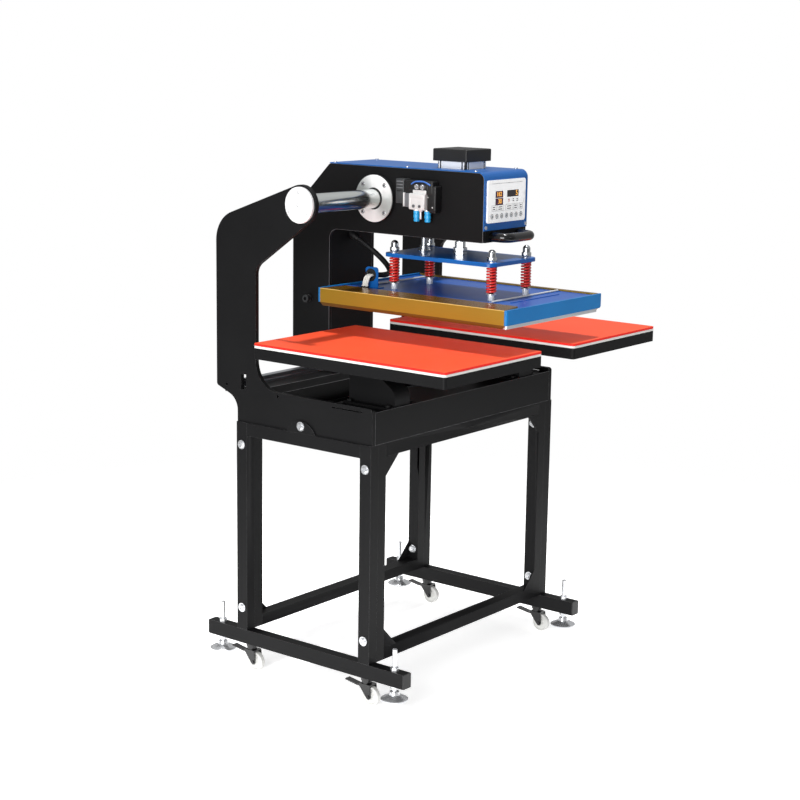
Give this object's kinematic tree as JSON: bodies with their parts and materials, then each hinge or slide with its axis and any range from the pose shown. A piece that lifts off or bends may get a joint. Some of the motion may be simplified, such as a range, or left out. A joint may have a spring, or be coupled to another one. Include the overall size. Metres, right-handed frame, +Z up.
{
  "type": "dual station heat press",
  "caption": "Pneumatic heat press with a blue head on a long arm that shuttles along a shaft between two cushioned tables on a black steel stand with casters and levelling feet",
  "frame": {"origin": "on the floor, in the middle of the footprint", "axes": "+Z up, +X along the shuttle shaft to the operator's right when facing the machine, -Y towards the operator"},
  "size_m": [0.942, 0.834, 1.379],
  "materials": {
    "black_steel": "fine-textured black powder coat",
    "blue_paint": "smooth metallic blue powder coat",
    "gold_steel": "golden bronze coat, fine grained",
    "zinc_plate": "bright zinc plate",
    "satin_steel": "fine turned, satin",
    "ground_steel": "ground bare steel",
    "hard_chrome": "polished hard chrome",
    "silver_aluminium": "satin anodised",
    "cast_aluminium": "machined casting",
    "black_plastic": "moulded, slightly grained",
    "panel_plastic": "smooth membrane film",
    "black_gloss": "glossy sleeve",
    "clear_nylon": "translucent white",
    "white_nylon": "moulded nylon",
    "red_spring": "red coated wire",
    "orange_silicone": "closed-cell silicone, fine skin",
    "white_board": "dense white felt board",
    "white_braid": "glass fibre braid",
    "black_sleeve": "woven protective sleeve"
  },
  "bodies": {
    "root": {"side_plate_left": "black_steel", "side_plate_right": "black_steel", "base_frame": "black_steel", "side_frame_left": "black_steel", "side_frame_right": "black_steel", "front_frame": "black_steel", "rear_frame": "black_steel", "stand_fasteners": "zinc_plate", "skid_end_caps": "black_plastic", "shuttle_shaft": "hard_chrome", "shaft_end_discs": "satin_steel", "guide_rail": "ground_steel", "table_brackets": "black_steel", "table_frames": "black_steel", "table_boards": "white_board", "table_mats": "orange_silicone", "caster_plates": "zinc_plate"},
    "head": {"head_arm_left": "black_steel", "head_arm_right": "black_steel", "head_cover": "blue_paint", "head_webs": "black_steel", "shuttle_bearings": "satin_steel", "head_screws": "zinc_plate", "head_carriage": "ground_steel", "air_cylinder": "silver_aluminium", "control_panel": "panel_plastic", "head_handle": "black_gloss", "solenoid_valve": "silver_aluminium", "head_fittings": "black_plastic", "conduit": "black_sleeve"},
    "platen": {"heating_plate": "cast_aluminium", "platen_side_rails": "gold_steel", "platen_cover": "blue_paint", "spring_studs": "clear_nylon", "springs": "red_spring", "conduit_bracket": "blue_paint", "heater_leads": "white_braid"},
    "pressure_plate": {"pressure_plate": "blue_paint", "press_rods": "ground_steel"},
    "caster_fork_front_left": {"caster_fork_front_left": "zinc_plate"},
    "caster_wheel_front_left": {"caster_wheel_front_left": "white_nylon"},
    "caster_pedal_front_left": {"caster_pedal_front_left": "zinc_plate"},
    "caster_fork_rear_left": {"caster_fork_rear_left": "zinc_plate"},
    "caster_wheel_rear_left": {"caster_wheel_rear_left": "white_nylon"},
    "caster_pedal_rear_left": {"caster_pedal_rear_left": "zinc_plate"},
    "caster_fork_front_right": {"caster_fork_front_right": "zinc_plate"},
    "caster_wheel_front_right": {"caster_wheel_front_right": "white_nylon"},
    "caster_pedal_front_right": {"caster_pedal_front_right": "zinc_plate"},
    "caster_fork_rear_right": {"caster_fork_rear_right": "zinc_plate"},
    "caster_wheel_rear_right": {"caster_wheel_rear_right": "white_nylon"},
    "caster_pedal_rear_right": {"caster_pedal_rear_right": "zinc_plate"},
    "foot_pad_front_left": {"foot_pad_front_left": "zinc_plate"},
    "foot_stud_front_left": {"foot_stud_front_left": "zinc_plate"},
    "foot_pad_rear_left": {"foot_pad_rear_left": "zinc_plate"},
    "foot_stud_rear_left": {"foot_stud_rear_left": "zinc_plate"},
    "foot_pad_front_right": {"foot_pad_front_right": "zinc_plate"},
    "foot_stud_front_right": {"foot_stud_front_right": "zinc_plate"},
    "foot_pad_rear_right": {"foot_pad_rear_right": "zinc_plate"},
    "foot_stud_rear_right": {"foot_stud_rear_right": "zinc_plate"}
  },
  "joints": [
    {"name": "head_shuttle", "type": "slide", "parent": "root", "child": "head", "axis": [1, 0, 0], "range_m": [-0.2705, 0.2705]},
    {"name": "platen_stroke", "type": "slide", "parent": "head", "child": "platen", "axis": [0, 0, 1], "range_m": [-0.066, 0]},
    {"name": "spring_compress", "type": "slide", "parent": "platen", "child": "pressure_plate", "axis": [0, 0, 1], "range_m": [-0.01, 0], "stiffness_N_per_m": 104000, "springref_m": 0.002, "deforming": ["springs"]},
    {"name": "swivel_front_left", "type": "hinge", "parent": "root", "child": "caster_fork_front_left", "pos_m": [-0.383, -0.124, 0.056], "axis": [0, 0, 1], "continuous": true},
    {"name": "roll_front_left", "type": "hinge", "parent": "caster_fork_front_left", "child": "caster_wheel_front_left", "pos_m": [-0.383, -0.14, 0.025], "axis": [1, 0, 0], "continuous": true},
    {"name": "brake_front_left", "type": "hinge", "parent": "caster_fork_front_left", "child": "caster_pedal_front_left", "pos_m": [-0.383, -0.116, 0.046], "axis": [1, 0, 0], "range_deg": [-12, 0]},
    {"name": "swivel_rear_left", "type": "hinge", "parent": "root", "child": "caster_fork_rear_left", "pos_m": [-0.383, 0.271, 0.056], "axis": [0, 0, 1], "continuous": true},
    {"name": "roll_rear_left", "type": "hinge", "parent": "caster_fork_rear_left", "child": "caster_wheel_rear_left", "pos_m": [-0.383, 0.255, 0.025], "axis": [1, 0, 0], "continuous": true},
    {"name": "brake_rear_left", "type": "hinge", "parent": "caster_fork_rear_left", "child": "caster_pedal_rear_left", "pos_m": [-0.383, 0.279, 0.046], "axis": [1, 0, 0], "range_deg": [-12, 0]},
    {"name": "swivel_front_right", "type": "hinge", "parent": "root", "child": "caster_fork_front_right", "pos_m": [0.383, -0.124, 0.056], "axis": [0, 0, 1], "continuous": true},
    {"name": "roll_front_right", "type": "hinge", "parent": "caster_fork_front_right", "child": "caster_wheel_front_right", "pos_m": [0.383, -0.14, 0.025], "axis": [1, 0, 0], "continuous": true},
    {"name": "brake_front_right", "type": "hinge", "parent": "caster_fork_front_right", "child": "caster_pedal_front_right", "pos_m": [0.383, -0.116, 0.046], "axis": [1, 0, 0], "range_deg": [-12, 0]},
    {"name": "swivel_rear_right", "type": "hinge", "parent": "root", "child": "caster_fork_rear_right", "pos_m": [0.383, 0.271, 0.056], "axis": [0, 0, 1], "continuous": true},
    {"name": "roll_rear_right", "type": "hinge", "parent": "caster_fork_rear_right", "child": "caster_wheel_rear_right", "pos_m": [0.383, 0.255, 0.025], "axis": [1, 0, 0], "continuous": true},
    {"name": "brake_rear_right", "type": "hinge", "parent": "caster_fork_rear_right", "child": "caster_pedal_rear_right", "pos_m": [0.383, 0.279, 0.046], "axis": [1, 0, 0], "range_deg": [-12, 0]},
    {"name": "level_front_left", "type": "slide", "parent": "root", "child": "foot_pad_front_left", "axis": [0, 0, 1], "range_m": [-0.04, 0.006]},
    {"name": "turn_front_left", "type": "hinge", "parent": "foot_pad_front_left", "child": "foot_stud_front_left", "pos_m": [-0.383, -0.213, 0.045], "axis": [0, 0, 1], "range_deg": [-8300, 1300]},
    {"name": "level_rear_left", "type": "slide", "parent": "root", "child": "foot_pad_rear_left", "axis": [0, 0, 1], "range_m": [-0.04, 0.006]},
    {"name": "turn_rear_left", "type": "hinge", "parent": "foot_pad_rear_left", "child": "foot_stud_rear_left", "pos_m": [-0.383, 0.377, 0.045], "axis": [0, 0, 1], "range_deg": [-8300, 1300]},
    {"name": "level_front_right", "type": "slide", "parent": "root", "child": "foot_pad_front_right", "axis": [0, 0, 1], "range_m": [-0.04, 0.006]},
    {"name": "turn_front_right", "type": "hinge", "parent": "foot_pad_front_right", "child": "foot_stud_front_right", "pos_m": [0.383, -0.213, 0.045], "axis": [0, 0, 1], "range_deg": [-8300, 1300]},
    {"name": "level_rear_right", "type": "slide", "parent": "root", "child": "foot_pad_rear_right", "axis": [0, 0, 1], "range_m": [-0.04, 0.006]},
    {"name": "turn_rear_right", "type": "hinge", "parent": "foot_pad_rear_right", "child": "foot_stud_rear_right", "pos_m": [0.383, 0.377, 0.045], "axis": [0, 0, 1], "range_deg": [-8300, 1300]}
  ],
  "couplings": [
    {"joint": "turn_front_left", "follows": "level_front_left", "rad_per_m": 3590.4},
    {"joint": "turn_rear_left", "follows": "level_rear_left", "rad_per_m": 3590.4},
    {"joint": "turn_front_right", "follows": "level_front_right", "rad_per_m": 3590.4},
    {"joint": "turn_rear_right", "follows": "level_rear_right", "rad_per_m": 3590.4}
  ]
}
